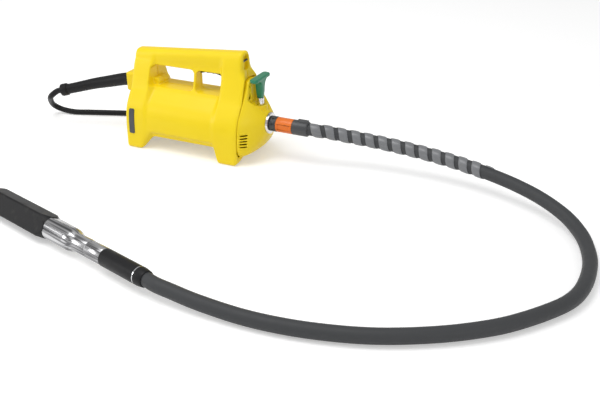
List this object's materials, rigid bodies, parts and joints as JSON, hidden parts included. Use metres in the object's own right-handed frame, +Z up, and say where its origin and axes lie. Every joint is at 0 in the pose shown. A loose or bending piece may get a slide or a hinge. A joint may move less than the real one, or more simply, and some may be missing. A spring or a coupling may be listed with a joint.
{
  "type": "concrete vibrator",
  "caption": "Electric concrete vibrator: drive unit with carrying grip, flexible shaft in its hose and a square vibrating head.",
  "frame": {"origin": "on the floor, in the middle of the box of the drive unit and the head without the cords", "axes": "+X along the motor's axis towards the nose, +Z up, +Y towards the far side"},
  "size_m": [1.3412, 0.8432, 0.2376],
  "materials": {
    "yellow_plastic": "satin moulded nylon",
    "black_rubber": "smooth black rubber",
    "hose_rubber": "matt dark rubber",
    "grey_plastic": "satin grey plastic",
    "green_plastic": "satin green plastic",
    "orange_plastic": "satin orange plastic",
    "bright_steel": "turned and polished",
    "blackened_steel": "blackened, worn on the edges",
    "copper": "bare copper",
    "carbon": "pressed carbon"
  },
  "bodies": {
    "tool": {"brush_carrier": "grey_plastic", "brush_far": "carbon", "brush_near": "carbon", "cable_entry": "yellow_plastic", "cable_sleeve": "black_rubber", "coupling_band": "orange_plastic", "coupling_collar": "grey_plastic", "coupling_tail": "black_rubber", "cover_screw_1": "bright_steel", "cover_screw_2": "bright_steel", "cover_screw_3": "bright_steel", "cover_screw_4": "bright_steel", "entry_screw_1": "bright_steel", "entry_screw_2": "bright_steel", "field_coil_lower": "copper", "field_coil_upper": "copper", "flexible_core": "bright_steel", "front_bearing": "bright_steel", "head_bearing_front": "bright_steel", "head_bearing_rear": "bright_steel", "head_block": "blackened_steel", "head_neck": "bright_steel", "hose": "hose_rubber", "hose_end_fitting": "black_rubber", "housing_far": "yellow_plastic", "housing_near": "yellow_plastic", "housing_screw_1": "bright_steel", "housing_screw_2": "bright_steel", "housing_screw_3": "bright_steel", "housing_screw_4": "bright_steel", "housing_screw_5": "bright_steel", "housing_screw_6": "bright_steel", "inner_lead": "black_rubber", "lock_barrel": "bright_steel", "lock_spring": "bright_steel", "mains_cable": "black_rubber", "mains_hank": "black_rubber", "mains_plug": "black_rubber", "nose_housing": "yellow_plastic", "nose_ring": "bright_steel", "rear_bearing": "bright_steel", "rear_cover": "yellow_plastic", "side_plate": "grey_plastic", "spiral_guard": "grey_plastic", "stator_core": "blackened_steel", "strap_pin_front": "bright_steel", "strap_pin_rear": "bright_steel", "switch_body": "grey_plastic", "switch_pin": "bright_steel"},
    "rotor": {"armature_shaft": "bright_steel", "armature_core": "blackened_steel", "commutator": "copper", "cooling_fan": "grey_plastic", "drive_socket": "bright_steel", "drive_tang": "bright_steel"},
    "eccentric": {"head_shaft": "bright_steel", "eccentric_weight": "bright_steel"},
    "plunger": {"lock_pin": "bright_steel", "lock_knob": "green_plastic"},
    "rocker": {"switch_rocker": "black_rubber"}
  },
  "joints": [
    {"name": "armature_spin", "type": "hinge", "parent": "tool", "child": "rotor", "pos_m": [0.06166, 0.25443, 0.083], "axis": [1, 0, 0], "continuous": true},
    {"name": "eccentric_spin", "type": "hinge", "parent": "tool", "child": "eccentric", "pos_m": [0.28266, -0.31957, 0.02686], "axis": [-0.9598, 0.2807, 0], "continuous": true},
    {"name": "knob_pull", "type": "slide", "parent": "tool", "child": "plunger", "axis": [0, 0, 1], "range_m": [0, 0.008], "stiffness_N_per_m": 500, "springref_m": -0.006, "deforming": ["lock_spring"]},
    {"name": "switch_rock", "type": "hinge", "parent": "tool", "child": "rocker", "pos_m": [0.08566, 0.25443, 0.19], "axis": [0, 1, 0], "range_deg": [-4, 4]}
  ],
  "couplings": [
    {"joint": "eccentric_spin", "follows": "armature_spin", "ratio": 1}
  ]
}
